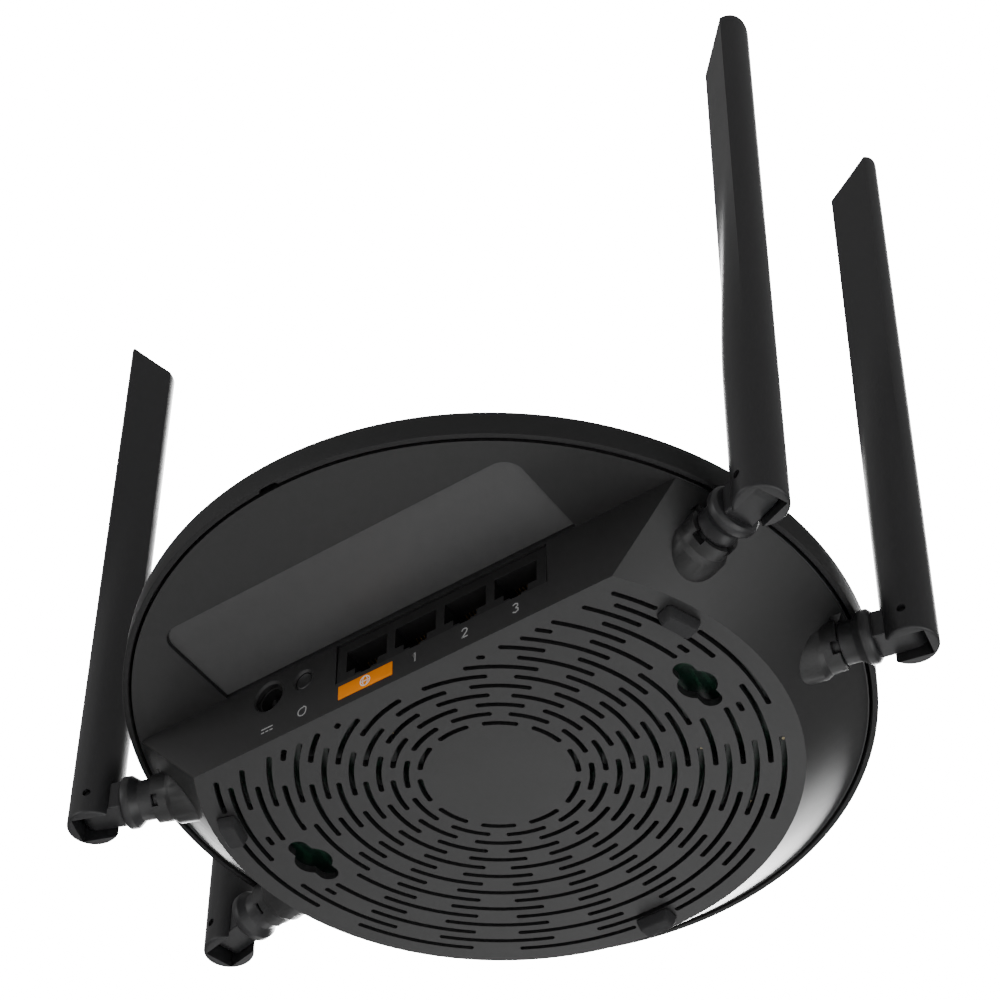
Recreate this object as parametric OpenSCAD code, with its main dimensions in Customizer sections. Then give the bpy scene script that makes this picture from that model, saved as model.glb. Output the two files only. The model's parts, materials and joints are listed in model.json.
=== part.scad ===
// Wireless router: a round housing with four folding antennas, four network
// sockets on the rear wall, a power inlet and a reset button.
// Millimetres. Z is up, the table is Z = 0, the ports face +Y, X is across.

/* [Housing] */
// Height of the rubber feet under the base plate
foot_height = 3; // [2:0.5:4]
// Radius of the flat base plate
plate_radius = 71.5; // [64:0.5:74]
// Outer radius of the top cover
cover_radius = 89.65; // [86:0.5:100]
// Height of the seam above the base plate, on the axis
seam_height = 17.85; // [17.5:0.25:21]
// Tilt of the top cover, rear edge up
cover_tilt = 2.58; // [2:0.1:3]
// Height of the cover's side wall
skirt_height = 7.9; // [6.5:0.25:10]
// How far the middle of the cover rises above its side wall
dome_rise = 3.5; // [2.5:0.25:6]
// Wall of the housing
wall = 2; // [1.6:0.1:2.2]
// Wall of the cover's skirt
skirt_wall = 1.55; // [1.2:0.05:1.8]
// Gap between the shell and the cover at the seam
seam_gap = 0.65; // [0.5:0.05:0.8]
// Height of the lip that stands inside the cover
lip_height = 4; // [3.5:0.25:4.5]

/* [Rear wall] */
// Distance of the rear wall from the axis, at the base plate
rear_wall = 40.4; // [39:0.25:42]
// Draft of the rear wall
rear_draft = 1.9; // [1:0.1:3]
// Thickness of the ceiling over the ports
ceiling_wall = 2.4; // [2.2:0.1:3]
// Length of the label recess across the ceiling
label_length = 100.5; // [80:0.5:110]
// Distance of the label recess's rear edge from the axis
label_edge = 66.5; // [62:0.5:68]
// Depth of the label recess
label_recess = 1.15; // [0.8:0.05:1.3]
// Thickness of the labels
label_thickness = 0.2; // [0.1:0.05:0.3]
// Corner radius of the label
label_corner = 5; // [3:0.5:8]

/* [Vents] */
// Number of slot rings
ring_count = 16; // [10:1:16]
// Radius of the first ring
first_ring = 18.6; // [16:0.2:20]
// Distance of the last ring from the plate's edge
vent_margin = 5; // [4.6:0.1:6]
// Width of a slot
slot_width = 1.3; // [1:0.1:1.6]
// Angle that a slot spans
slot_angle = 26; // [22:1:28]
// Slots in a ring
slots_per_ring = 10; // [10]
// Plain band between the slots and the rear wall
rear_margin = 4.3; // [3.5:0.1:6]

/* [Wall hanging] */
// Distance between the two keyholes
keyhole_spacing = 110; // [100:1:112]
// Diameter of a keyhole's round hole
keyhole_diameter = 9.2; // [8:0.2:9.6]
// Width of a keyhole's slots
keyhole_slot = 5; // [4:0.2:5.4]
// Distance of the slots' ends from the keyhole's middle
keyhole_reach = 5.8; // [5:0.2:6]

/* [Ports] */
// Distance between network sockets
port_pitch = 13.97; // [13.8:0.1:14.4]
// Number of network sockets
port_count = 4; // [2:1:4]
// Middle of the socket block, across
port_middle = -12.33; // [-13:0.25:-11]
// Width of a socket's opening
port_width = 11.55; // [11.4:0.05:11.8]
// Bottom of a socket's opening above the base plate
port_bottom = 9.9; // [9.6:0.1:10.2]
// Height of a socket's opening
port_height = 6.1; // [5.9:0.1:6.4]
// Depth of a socket
port_depth = 13; // [12:0.5:14]
// Power inlet, across
dc_x = 37.3; // [36:0.25:39]
// Power inlet bore
dc_bore = 6.4; // [5.8:0.1:6.5]
// Power inlet pin
dc_pin_diameter = 2; // [1.6:0.1:2.5]
// Height of the inlet and the reset button above the base plate
inlet_height = 13.85; // [13.5:0.1:14.2]
// Reset button, across
reset_x = 27; // [26:0.25:28]
// Diameter of the reset button
reset_diameter = 4.65; // [4:0.1:5]
// Travel of the reset button
reset_travel = 0.8; // [0.4:0.1:0.8]

/* [Feet] */
// Length of a foot
foot_length = 9.5; // [8:0.5:10]
// Width of a foot
foot_width = 5; // [4:0.25:5]

/* [Antennas] */
// Overall length of an antenna blade, at its longest side
blade_length = 172.5; // [120:2.5:210]
// Diameter of an antenna blade
blade_diameter = 12.8; // [12:0.2:13.2]
// Angle of the rear antennas behind the side-to-side line
rear_angle = 20.75; // [19:0.25:22]
// Angle of the front antennas before the side-to-side line
front_angle = 12.1; // [11:0.25:14]
// Height of the antenna axes above the base plate
pin_height = 10.75; // [10.5:0.05:10.8]
// How far the hinge pins stand outside the cover
pin_reach = 11.55; // [11.2:0.05:13]
// Diameter of the swivel shaft
shaft_diameter = 8; // [7:0.25:8.5]
// Width of the tongue between the blade's cheeks
tongue_width = 7.8; // [7:0.1:8]
// Diameter of the hinge pins
hinge_diameter = 2; // [1.6:0.1:2.2]
// Slope of the blade's cut top
top_slope = 43.5; // [35:0.5:50]

/* [Circuit board] */
// Underside of the board above the base plate
board_lift = 5.3; // [5:0.1:5.5]
// Thickness of the board
board_thickness = 1.6; // [1.2:0.2:1.6]
// Length of the heat sink
sink_length = 28; // [20:1:34]

/* [Fits] */
// Radial clearance of turning and sliding parts
fit = 0.05; // [0.03:0.01:0.08]
// Gap between pieces that don't move
gap = 0.3; // [0.2:0.05:0.4]

/* [Hidden] */
$fn = 72;
cone_sides = 120;
plate_z = foot_height;
seam_z = plate_z + seam_height;
shift = skirt_height * sin(cover_tilt) / 2;
slope = tan(cover_tilt);
shell_radius = cover_radius - skirt_wall - seam_gap;
cone_top = shell_radius - 0.3;
lean = (cone_top - plate_radius) / seam_height;
skin = wall * sqrt(1 + lean * lean);
port_face_z = plate_z + port_bottom - 2.35;
ring_pitch = (plate_radius - vent_margin - first_ring) / (ring_count - 1);
vent_limit = rear_wall - rear_margin;
last_ring = plate_radius - vent_margin;
keep_out = keyhole_reach + keyhole_slot / 2 + 1.9;
board_z = plate_z + board_lift;
board_top = board_z + board_thickness;
board_radius = plate_radius - 2.3;
board_rear = rear_wall - wall - 0.8;
post_angles = [18, 162, 234, 306];
foot_angles = [18, 162, 270];
post_radius = 2.5;
axis_z = plate_z + pin_height;
pin_r = cover_radius + pin_reach;
boss_in = plate_radius + 0.5;
boss_step = cover_radius - 9.65;
boss_end = cover_radius - 4.45;
neck_end = cover_radius - 0.75;
flange_end = cover_radius + 3.75;
blade_r = blade_diameter / 2;
blade_foot = 6.3;
fork = tongue_width / 2 + 0.15;
blade_top = blade_length - blade_foot;
// the flat leaves the round blade at this height over the pin, and leans in from there
flat_start = 0.27 * blade_length;
flat_depth = 3.2;
flat_turn = 12;
inlet_z = plate_z + inlet_height;
block_width = (port_count - 1) * port_pitch + port_width + 5.35;
block_top = plate_z + port_bottom + port_height + 2.9;
block_front = rear_wall + 0.15;
block_back = block_front - port_depth - 3.5;
screw_x = label_length / 2 - 10;
screw_y = label_edge - 13;
led_y = -62;
led_xs = [-16, -8, 0, 8, 16];
snap_angles = [60, 120, 215, 270, 325];
wall_at_seam = rear_wall + tan(rear_draft) * (seam_height + slope * rear_wall);
label_start = (wall_at_seam - shift) / cos(cover_tilt) + 0.05;
sides = [1, -1];

// ---- Shared frames and helpers ----

function span(start, end, low, high) = concat(
    start < low ? [[start, min(end, low)]] : [],
    end > high ? [[max(start, high), end]] : []
);

function without(spans, low, high) = [
    for (s = spans) each span(s[0], s[1], low, high)
];

// The cover's own frame: its seam is the plane Z = 0 and it leans with the tilt.
module at_seam() {
    translate([0, shift, seam_z])
        rotate([cover_tilt, 0, 0])
            children();
}

// An antenna's frame: the hinge axis is Y, +X points away from the housing.
module at_antenna(angle) {
    rotate([0, 0, angle])
        translate([pin_r, 0, axis_z])
            children();
}

// A cylinder along the antenna's swivel axis, between two distances from the housing's axis.
module barrel(from, to, r1, r2) {
    translate([from - pin_r, 0, 0])
        rotate([0, 90, 0])
            cylinder(h = to - from, r1 = r1, r2 = r2);
}

// A cylinder pointing out through the rear wall.
module rearward(x, z, from, to, r1, r2) {
    translate([x, from, z])
        rotate([-90, 0, 0])
            cylinder(h = to - from, r1 = r1, r2 = r2);
}

module block(x, y, z, size) {
    translate([x - size[0] / 2, y - size[1] / 2, z])
        cube(size);
}

// Everything behind the rear wall's outer face, moved forward by an inset.
module behind_rear(inset) {
    translate([0, rear_wall - inset, plate_z])
        rotate([-rear_draft, 0, 0])
            translate([-150, 0, -40])
                cube([300, 150, 90]);
}

// A leaning cone from the base plate to the tilted seam plane and a little past it.
module cone_solid(low_radius, low_z, high_radius) {
    n = cone_sides;
    past = 1.1;
    low = [
        for (i = [0 : n - 1])
            [low_radius * cos(360 * i / n), low_radius * sin(360 * i / n), low_z]
    ];
    seam = [
        for (i = [0 : n - 1])
            let (a = 360 * i / n)
            [
                high_radius * cos(a),
                shift + high_radius * sin(a) * cos(cover_tilt),
                seam_z + high_radius * sin(a) * sin(cover_tilt)
            ]
    ];
    high = [for (i = [0 : n - 1]) low[i] + past * (seam[i] - low[i])];
    walls = [
        for (i = [0 : n - 1])
            let (j = (i + 1) % n)
            each [[i, n + i, n + j], [i, n + j, j]]
    ];
    bottom = [for (i = [0 : n - 1]) i];
    top = [for (i = [0 : n - 1]) 2 * n - 1 - i];
    polyhedron(points = concat(low, high), faces = concat(walls, [bottom], [top]));
}

// ---- Housing ----

module shell_blank() {
    difference() {
        cone_solid(plate_radius, plate_z, cone_top);
        behind_rear(0);
        at_seam()
            translate([-150, -150, 0])
                cube([300, 300, 40]);
        difference() {
            cone_solid(plate_radius + wall * lean - skin, plate_z + wall, cone_top - skin);
            behind_rear(wall);
        }
    }
}

module ring_slot(radius, start, end) {
    cap = asin(slot_width / 2 / radius);
    low = plate_z - 1;
    deep = wall + 2;
    rotate([0, 0, start + cap])
        rotate_extrude(angle = end - start - 2 * cap)
            translate([radius - slot_width / 2, low])
                square([slot_width, deep]);
    for (a = [start + cap, end - cap])
        rotate([0, 0, a])
            translate([radius, 0, low])
                cylinder(d = slot_width + 0.06, h = deep);
}

module vents() {
    step = 360 / slots_per_ring;
    near = keyhole_diameter / 2 + 1.8;
    for (k = [0 : ring_count - 1]) {
        radius = first_ring + k * ring_pitch;
        beside = abs(radius - keyhole_spacing / 2) < near;
        edge = radius > vent_limit ? asin(vent_limit / radius) : 90;
        hold = beside ? asin(keep_out / radius) : 0;
        for (i = [0 : slots_per_ring - 1]) {
            middle = step * i + (k % 2 == 0 ? step / 2 : 0);
            whole = [[middle - slot_angle / 2, middle + slot_angle / 2]];
            rear = edge < 90 ? without(whole, edge, 180 - edge) : whole;
            right = beside ? without(rear, -hold, hold) : rear;
            left = beside ? without(right, 180 - hold, 180 + hold) : right;
            around = beside ? without(left, 360 - hold, 360 + hold) : left;
            for (s = around)
                if ((s[1] - s[0]) * PI / 180 * radius > 2)
                    ring_slot(radius, s[0], s[1]);
        }
    }
}

module keyholes() {
    for (x = sides * keyhole_spacing / 2) {
        translate([x, 0, plate_z - 1])
            cylinder(d = keyhole_diameter, h = wall + 2);
        translate([x, 0, plate_z - 1])
            linear_extrude(wall + 2) {
                square([keyhole_slot, 2 * keyhole_reach], center = true);
                for (y = sides * keyhole_reach)
                    translate([0, y])
                        circle(d = keyhole_slot);
            }
    }
}

module antenna_bosses() {
    for (a = [rear_angle, -front_angle, 180 - rear_angle, 180 + front_angle])
        at_antenna(a) {
            barrel(boss_in, boss_step, 7, 7);
            barrel(boss_step, boss_step + 1.5, 7, 6.1);
            barrel(boss_step + 1.5, boss_end, 6.1, 6.1);
        }
}

module antenna_bores() {
    for (a = [rear_angle, -front_angle, 180 - rear_angle, 180 + front_angle])
        at_antenna(a) {
            barrel(boss_in - 1, pin_r, shaft_diameter / 2 + fit, shaft_diameter / 2 + fit);
            barrel(boss_end, pin_r, 5.6, 5.6);
            for (t = [45, 135])
                rotate([t, 0, 0])
                    translate([boss_end - 1.6 - pin_r, -1.5, -7])
                        cube([3, 3, 14]);
        }
}

module ceiling() {
    intersection() {
        at_seam()
            cylinder(r = shell_radius, h = ceiling_wall);
        behind_rear(wall);
    }
}

module lip() {
    at_seam()
        difference() {
            cylinder(r = shell_radius, h = lip_height);
            translate([0, 0, -1])
                cylinder(r = shell_radius - wall, h = lip_height + 2);
        }
}

module snap_windows() {
    at_seam()
        for (a = snap_angles)
            rotate([0, 0, a])
                translate([shell_radius - wall - 1, -4, lip_height - 2.6])
                    cube([wall + 2, 8, 1.5]);
}

module label_pocket(inset, low, high) {
    long = label_length - 2 * inset;
    deep = label_edge - label_start - 2 * inset;
    at_seam()
        translate([0, 0, low])
            linear_extrude(high - low) {
                translate([-long / 2, label_start + inset])
                    square([long, deep - label_corner]);
                translate([-long / 2 + label_corner, label_start + inset])
                    square([long - 2 * label_corner, deep]);
                for (x = sides * (long / 2 - label_corner))
                    translate([x, label_edge - label_corner - inset])
                        circle(r = label_corner);
            }
}

module bottom_shell() {
    color("#2b2b2d")
        difference() {
            union() {
                difference() {
                    shell_blank();
                    vents();
                }
                ceiling();
                lip();
                antenna_bosses();
                for (a = post_angles)
                    rotate([0, 0, a])
                        translate([last_ring, 0, plate_z + 1])
                            cylinder(r = post_radius, h = board_lift - 1);
                at_seam()
                    for (x = sides * screw_x)
                        translate([x, screw_y, 0.5 + label_recess])
                            cylinder(r = 4.4, h = 2.6);
            }
            keyholes();
            antenna_bores();
            snap_windows();
            label_pocket(0, -1, label_recess);
            at_seam()
                for (x = sides * screw_x)
                    translate([x, screw_y, 0]) {
                        cylinder(r = 2.9, h = label_recess + 1.85);
                        cylinder(r = 1.6, h = 6);
                    }
            for (a = post_angles)
                rotate([0, 0, a])
                    translate([last_ring, 0, plate_z + 2.2])
                        cylinder(r = 0.8, h = board_lift);
            for (a = foot_angles)
                rotate([0, 0, a])
                    translate([last_ring, 0, plate_z - 1])
                        cylinder(r = 1.45, h = 2.6);
            translate([port_middle - block_width / 2 - gap, rear_wall - 6, port_face_z])
                cube([block_width + 2 * gap, 12, block_top + gap - port_face_z]);
            rearward(dc_x, inlet_z, rear_wall - 6, rear_wall + 6, 3.95, 3.95);
            rearward(dc_x, inlet_z, rear_wall - 0.4, rear_wall + 1.1, 3.3, 5.2);
            rearward(reset_x, inlet_z, rear_wall - 6, rear_wall + 6,
                reset_diameter / 2 + fit, reset_diameter / 2 + fit);
            rearward(reset_x, inlet_z, rear_wall - 0.1, rear_wall + 0.9,
                reset_diameter / 2 - 0.3, reset_diameter / 2 + 1.2);
        }
}

function dome(r, drop) = skirt_height + dome_rise * (1 - pow(r / cover_radius, 2)) - drop;

module cover_profile() {
    round_edge = 1.6;
    edge = cover_radius - round_edge;
    groove = cover_radius * 0.62;
    inside = cover_radius - skirt_wall;
    polygon(concat(
        [[0, dome(0, wall)]],
        [for (i = [1 : 8]) let (r = (inside - 1.2) * i / 8) [r, dome(r, wall)]],
        [[inside, dome(inside, wall) - 1.2], [inside, 0], [cover_radius, 0]],
        [
            for (i = [0 : 4])
                let (a = 90 * i / 4)
                [edge + round_edge * cos(a), dome(edge, round_edge) + round_edge * sin(a)]
        ],
        [for (i = [3 : -1 : 0]) let (r = groove + 1 + (edge - groove - 1) * i / 4) [r, dome(r, 0)]],
        [[groove + 0.7, dome(groove, 0.5)], [groove + 0.2, dome(groove, 0.5)]],
        [for (i = [4 : -1 : 0]) let (r = groove * i / 4) [r, dome(r, 0)]]
    ));
}

module top_cover() {
    screw_roof = dome(norm([screw_x, screw_y]), wall);
    led_roof = dome(norm([20, led_y]), wall);
    color("#262628")
        at_seam()
            difference() {
                union() {
                    rotate_extrude()
                        cover_profile();
                    for (a = snap_angles)
                        rotate([0, 0, a - 2])
                            rotate_extrude(angle = 4)
                                translate([shell_radius - 0.8, lip_height - 2.4])
                                    square([seam_gap + 1, 1.1]);
                    for (x = sides * screw_x)
                        translate([x, screw_y, label_recess + 3.2])
                            cylinder(r = 3.2, h = screw_roof - label_recess - 2.2);
                    for (x = sides * 20)
                        translate([x, led_y, 6])
                            cylinder(r = 1.8, h = led_roof - 5);
                    for (x = sides * 20)
                        translate([x, led_y, 4.4])
                            cylinder(r = 0.9, h = led_roof - 3.4);
                }
                for (x = sides * screw_x)
                    translate([x, screw_y, label_recess + 2])
                        cylinder(r = 1.35, h = screw_roof - label_recess - 1.6);
                for (x = led_xs)
                    translate([x, led_y, 2])
                        cylinder(r = 1.1, h = skirt_height + dome_rise);
                translate([-2.5, cover_radius - skirt_wall - 1, -1])
                    cube([5, 1.6, 2.2]);
            }
}

module feet() {
    color("#1d1d1e")
        for (a = foot_angles)
            rotate([0, 0, a])
                translate([last_ring + 0.2, 0, 0]) {
                    hull() {
                        for (x = sides * (foot_width / 2 - 1), y = sides * (foot_length / 2 - 1))
                            translate([x, y, foot_height - 0.8])
                                cylinder(r = 1, h = 0.8, $fn = 24);
                        for (x = sides * (foot_width / 2 - 1.5), y = sides * (foot_length / 2 - 1.7))
                            translate([x, y, 0])
                                cylinder(r = 0.75, h = 0.4, $fn = 24);
                    }
                    translate([-0.2, 0, 1])
                        cylinder(r = 1.4, h = foot_height + 0.4);
                }
}

module rating_label() {
    color("#4a4a4c")
        label_pocket(gap, label_recess - label_thickness, label_recess);
}

module wan_label() {
    x = port_middle + (port_count - 1) / 2 * port_pitch;
    color("#d98300")
        translate([x, rear_wall, plate_z])
            rotate([-rear_draft, 0, 0])
                translate([-7.75, 0, 2.3])
                    cube([15.5, 0.15, 3.9]);
}

module housing_screws() {
    color("#8c8f94")
        at_seam()
            for (x = sides * screw_x)
                translate([x, screw_y, 0])
                    difference() {
                        union() {
                            translate([0, 0, label_recess + 0.25])
                                cylinder(r = 2.6, h = 1.6);
                            translate([0, 0, label_recess + 1])
                                cylinder(r = 1.3, h = 4);
                        }
                        for (t = [0, 90])
                            rotate([0, 0, t])
                                block(0, 0, 0, [2.6, 0.6, label_recess + 1]);
                    }
}

module light_pipe() {
    foot = board_top + 1.2 - seam_z - (led_y * slope);
    color("#cfe6ee")
        at_seam()
            difference() {
                union() {
                    block(0, led_y, 4.4, [46, 5, 1.55]);
                    for (x = led_xs)
                        translate([x, led_y, foot])
                            cylinder(r = 1, h = dome(abs(led_y), 0.2) - foot);
                }
                for (x = sides * 20)
                    translate([x, led_y, 4])
                        cylinder(r = 0.95, h = 4);
            }
}

// ---- Electronics ----

module main_board() {
    color("#1f5c3a")
        difference() {
            translate([0, 0, board_z])
                cylinder(r = board_radius, h = board_thickness);
            translate([-100, board_rear, 0])
                cube([200, 100, 60]);
            for (a = post_angles)
                rotate([0, 0, a])
                    translate([last_ring, 0, 0])
                        cylinder(r = 1.2, h = 60);
        }
}

module board_screws() {
    color("#a8abb0")
        for (a = post_angles)
            rotate([0, 0, a])
                translate([last_ring, 0, 0])
                    difference() {
                        union() {
                            translate([0, 0, board_top])
                                cylinder(r = 1.9, h = 1.2);
                            translate([0, 0, plate_z + 2.4])
                                cylinder(r = 0.75, h = board_lift + board_thickness - 2);
                        }
                        for (t = [0, 90])
                            rotate([0, 0, t])
                                block(0, 0, board_top + 0.6, [2.2, 0.5, 2]);
                    }
}

function port_x(i) = port_middle + (i - (port_count - 1) / 2) * port_pitch;

module lan_jack_housing() {
    low = plate_z + port_bottom;
    color("#141414")
        difference() {
            translate([port_middle - block_width / 2, block_back, board_top])
                cube([block_width, block_front - block_back, block_top - board_top]);
            for (i = [0 : port_count - 1])
                translate([port_x(i), block_front - port_depth, 0]) {
                    translate([-port_width / 2, 0, low])
                        cube([port_width, port_depth + 1, port_height]);
                    translate([-3.25, 1, low - 1.7])
                        cube([6.5, port_depth, 2]);
                    translate([-1.5, 1, low - 2.3])
                        cube([3, port_depth, 2]);
                }
            // the step that clears the wall under the opening
            translate([port_middle - block_width, rear_wall - wall - gap, board_top - 1])
                cube([2 * block_width, 10, low - 2.28 - board_top + 1]);
        }
}

module lan_jack_shield() {
    thick = 0.25;
    near = block_front - 3;
    color("#b8bcc0")
        difference() {
            translate([port_middle - block_width / 2 - thick, block_back - thick, board_top])
                cube([block_width + 2 * thick, near - block_back, block_top + thick - board_top]);
            translate([port_middle - block_width / 2, block_back, board_top - 1])
                cube([block_width, 40, block_top - board_top + 1]);
        }
}

module lan_contacts() {
    color("#d8b04a")
        for (i = [0 : port_count - 1], j = [0 : 7])
            translate([port_x(i) + (j - 3.5) * 1.02, block_front - 5.2, plate_z + port_bottom + port_height])
                rotate([22, 0, 0])
                    translate([-0.18, -7.6, -0.5])
                        cube([0.36, 7.6, 0.36]);
}

module dc_jack() {
    nose = rear_wall - 1;
    color("#18181a")
        difference() {
            union() {
                translate([dc_x - 4.5, nose - 12.9, board_top])
                    cube([9, 11.4, 11]);
                rearward(dc_x, inlet_z, nose - 2, nose, 3.85, 3.85);
            }
            rearward(dc_x, inlet_z, nose - 10, nose + 1, dc_bore / 2, dc_bore / 2);
        }
}

module dc_pin() {
    nose = rear_wall - 1;
    r = dc_pin_diameter / 2;
    color("#c9ccd0") {
        rearward(dc_x, inlet_z, nose - 10, nose - 1.2, r, r);
        rearward(dc_x, inlet_z, nose - 1.2, nose - 0.7, r, r * 0.6);
    }
}

module reset_button() {
    inside = rear_wall - wall;
    r = reset_diameter / 2;
    color("#3a3a3c") {
        rearward(reset_x, inlet_z, inside - 1.2, rear_wall + 0.1, r, r);
        rearward(reset_x, inlet_z, inside - 1.2, inside - 0.1, r + 0.9, r + 0.9);
        rearward(reset_x, inlet_z, inside - 4, inside - 1, 1.2, 1.2);
    }
}

module reset_switch() {
    front = rear_wall - wall - 4 - reset_travel - 0.1;
    color("#3d3d40")
        translate([reset_x - 3.5, front - 5, board_top])
            cube([7, 4, inlet_height - board_lift - board_thickness + 3.5]);
    color("#b08d57")
        rearward(reset_x, inlet_z, front - 1.2, front, 1.6, 1.6);
}

module processor() {
    color("#202124")
        block(0, -12, board_top, [14, 14, 1.4]);
}

module heat_sink() {
    base = board_top + 1.4;
    color("#9fa3a8")
        difference() {
            block(0, -12, base, [sink_length, sink_length, 8.5]);
            for (i = [-3 : 3])
                block(i * sink_length / 8, -12, base + 2, [sink_length / 8 - 1.2, sink_length + 2, 10]);
        }
}

module rf_shields() {
    color("#b4b8bc")
        for (x = sides * 36)
            difference() {
                block(x, -20, board_top, [24, 20, 2.6]);
                block(x, -20, board_top - 1, [23.4, 19.4, 3.3]);
            }
}

module memory_chips() {
    color("#1c1d20") {
        block(0, -38, board_top, [12, 8, 1.1]);
        block(20, -42, board_top, [5, 5.2, 1.6]);
    }
}

module lan_transformers() {
    color("#17181a")
        for (x = sides * 14)
            block(port_middle + x, 12, board_top, [17, 12, 5.5]);
}

module capacitors() {
    color("#3b4a63") {
        for (p = [[44, 12], [34, 14]])
            translate([p[0], p[1], board_top]) {
                cylinder(r = 4, h = 1.5);
                cylinder(r = 3.7, h = 9.5);
            }
        for (p = [[-52, 8], [-52, -4]])
            translate([p[0], p[1], board_top])
                cylinder(r = 3.15, h = 7);
    }
}

module inductors() {
    color("#4b4c50")
        for (p = [[24, 14], [24, 4], [34, 2]])
            block(p[0], p[1], board_top, [6.6, 6.6, 3]);
}

module crystal() {
    color("#c4c8cc")
        translate([-20, -40, board_top])
            linear_extrude(3.4) {
                square([6.4, 4.6], center = true);
                for (x = sides * 3.2)
                    translate([x, 0])
                        circle(d = 4.6);
            }
}

module status_leds() {
    color("#f2f2e6")
        for (x = led_xs)
            block(x, led_y, board_top, [1.6, 0.9, 0.7]);
}

lead_root = 60;
lead_bend = 2;

module antenna_sockets() {
    color("#cfa94e")
        for (a = [rear_angle, -front_angle, 180 - rear_angle, 180 + front_angle])
            rotate([0, 0, a])
                translate([lead_root, 0, board_top])
                    cylinder(r = 1.4, h = 1.3);
}

module antenna_leads() {
    rise = axis_z - board_top - 1.3;
    color("#2a2a2c")
        for (a = [rear_angle, -front_angle, 180 - rear_angle, 180 + front_angle])
            rotate([0, 0, a])
                translate([lead_root, 0, board_top + 1.3]) {
                    cylinder(r = 0.9, h = rise - lead_bend);
                    translate([lead_bend, 0, rise - lead_bend])
                        rotate([-90, 0, 180])
                            rotate_extrude(angle = -90)
                                translate([lead_bend, 0])
                                    circle(r = 0.65);
                    translate([lead_bend, 0, rise])
                        rotate([0, 90, 0])
                            cylinder(r = 0.65, h = pin_r - lead_root - lead_bend - 9);
                }
}

// ---- Antennas ----

module swivel(angle) {
    r = shaft_diameter / 2;
    half = tongue_width / 2;
    color("#1f1f21")
        at_antenna(angle)
            difference() {
                union() {
                    barrel(boss_in - 2.1, boss_in - 0.1, r + 1.4, r + 1.4);
                    barrel(boss_in - 0.2, boss_end + 0.2, r, r);
                    barrel(boss_end + 0.1, neck_end, 5, 5);
                    barrel(neck_end, neck_end + 1.9, 5, 6.5);
                    barrel(neck_end + 1.9, flange_end - 0.8, 6.5, 6.5);
                    barrel(flange_end - 0.8, flange_end, 6.5, 5.6);
                    translate([flange_end - pin_r - 0.5, -half, -half])
                        cube([pin_r - flange_end + 0.5, tongue_width, tongue_width]);
                    rotate([90, 0, 0])
                        cylinder(r = half, h = tongue_width, center = true);
                }
                barrel(boss_in - 3, pin_r - 3, 1.3, 1.3);
                translate([-3.5, -1.3, -1.3])
                    cube([10, 2.6, 10]);
                rotate([90, 0, 0])
                    cylinder(d = hinge_diameter + 0.02, h = 20, center = true);
            }
}

module hinge_pins(angle, rear) {
    long = blade_r - 2.3;
    color("#9da0a5")
        at_antenna(angle)
            for (s = sides)
                translate([0, s * 1.55 + (s > 0 ? long : 0), 0])
                    rotate([90, 0, 0])
                        cylinder(d = hinge_diameter, h = long);
}

module blade(angle, rear) {
    lean_angle = atan(flat_depth / (blade_top - flat_start));
    color("#242426")
        at_antenna(angle)
            difference() {
                union() {
                    translate([0, 0, -blade_foot + 0.7])
                        cylinder(r = blade_r, h = blade_length);
                    translate([0, 0, -blade_foot])
                        cylinder(r1 = blade_r - 0.7, r2 = blade_r, h = 0.7);
                }
                // the long flat on the rear side
                rotate([0, 0, rear * flat_turn])
                    translate([0, rear * blade_r, flat_start])
                        rotate([rear * lean_angle, 0, 0])
                            translate([-20, rear > 0 ? 0 : -20, -15])
                                cube([40, 20, blade_length]);
                // the slanted top
                translate([blade_r, 0, blade_top])
                    rotate([0, -top_slope, 0])
                        translate([-60, -20, 0])
                            cube([80, 40, 40]);
                // the fork for the tongue
                translate([-20, -fork, -20])
                    cube([20 + fork, 2 * fork, 20 + fork]);
                // the hinge holes
                rotate([90, 0, 0])
                    cylinder(d = hinge_diameter + 2 * fit, h = 2 * (blade_r - 0.6), center = true);
                translate([0, rear * 2, 0])
                    rotate([-90 * rear, 0, 0])
                        cylinder(d = hinge_diameter + 2 * fit, h = 10);
                // the room for the aerial
                translate([0, 0, fork - 1])
                    cylinder(r = 1.6, h = 6);
                difference() {
                    translate([0, 0, fork + 3])
                        cylinder(r = blade_r - 1.4, h = blade_top - fork - 22);
                    translate([-20, rear > 0 ? 0.5 : -20.5, 0])
                        cube([40, 20, 400]);
                }
            }
}

module aerial(angle, rear) {
    low = fork + 0.6;
    top = blade_top - 24;
    color("#2f6d46")
        at_antenna(angle) {
            translate([0, -rear * 0.5, low])
                cylinder(r = 0.65, h = 8);
            translate([-3, -rear * 1.4 - 0.5, low + 6])
                cube([6, 1, top - low - 6]);
            translate([0, -rear * 1.4, low + 30])
                cylinder(r = 1.3, h = 32);
        }
}

module swivel_rr() { swivel(rear_angle); }
module swivel_rf() { swivel(-front_angle); }
module swivel_lr() { swivel(180 - rear_angle); }
module swivel_lf() { swivel(180 + front_angle); }
module hinge_pins_rr() { hinge_pins(rear_angle, 1); }
module hinge_pins_rf() { hinge_pins(-front_angle, 1); }
module hinge_pins_lr() { hinge_pins(180 - rear_angle, -1); }
module hinge_pins_lf() { hinge_pins(180 + front_angle, -1); }
module blade_rr() { blade(rear_angle, 1); }
module blade_rf() { blade(-front_angle, 1); }
module blade_lr() { blade(180 - rear_angle, -1); }
module blade_lf() { blade(180 + front_angle, -1); }
module aerial_rr() { aerial(rear_angle, 1); }
module aerial_rf() { aerial(-front_angle, 1); }
module aerial_lr() { aerial(180 - rear_angle, -1); }
module aerial_lf() { aerial(180 + front_angle, -1); }

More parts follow.
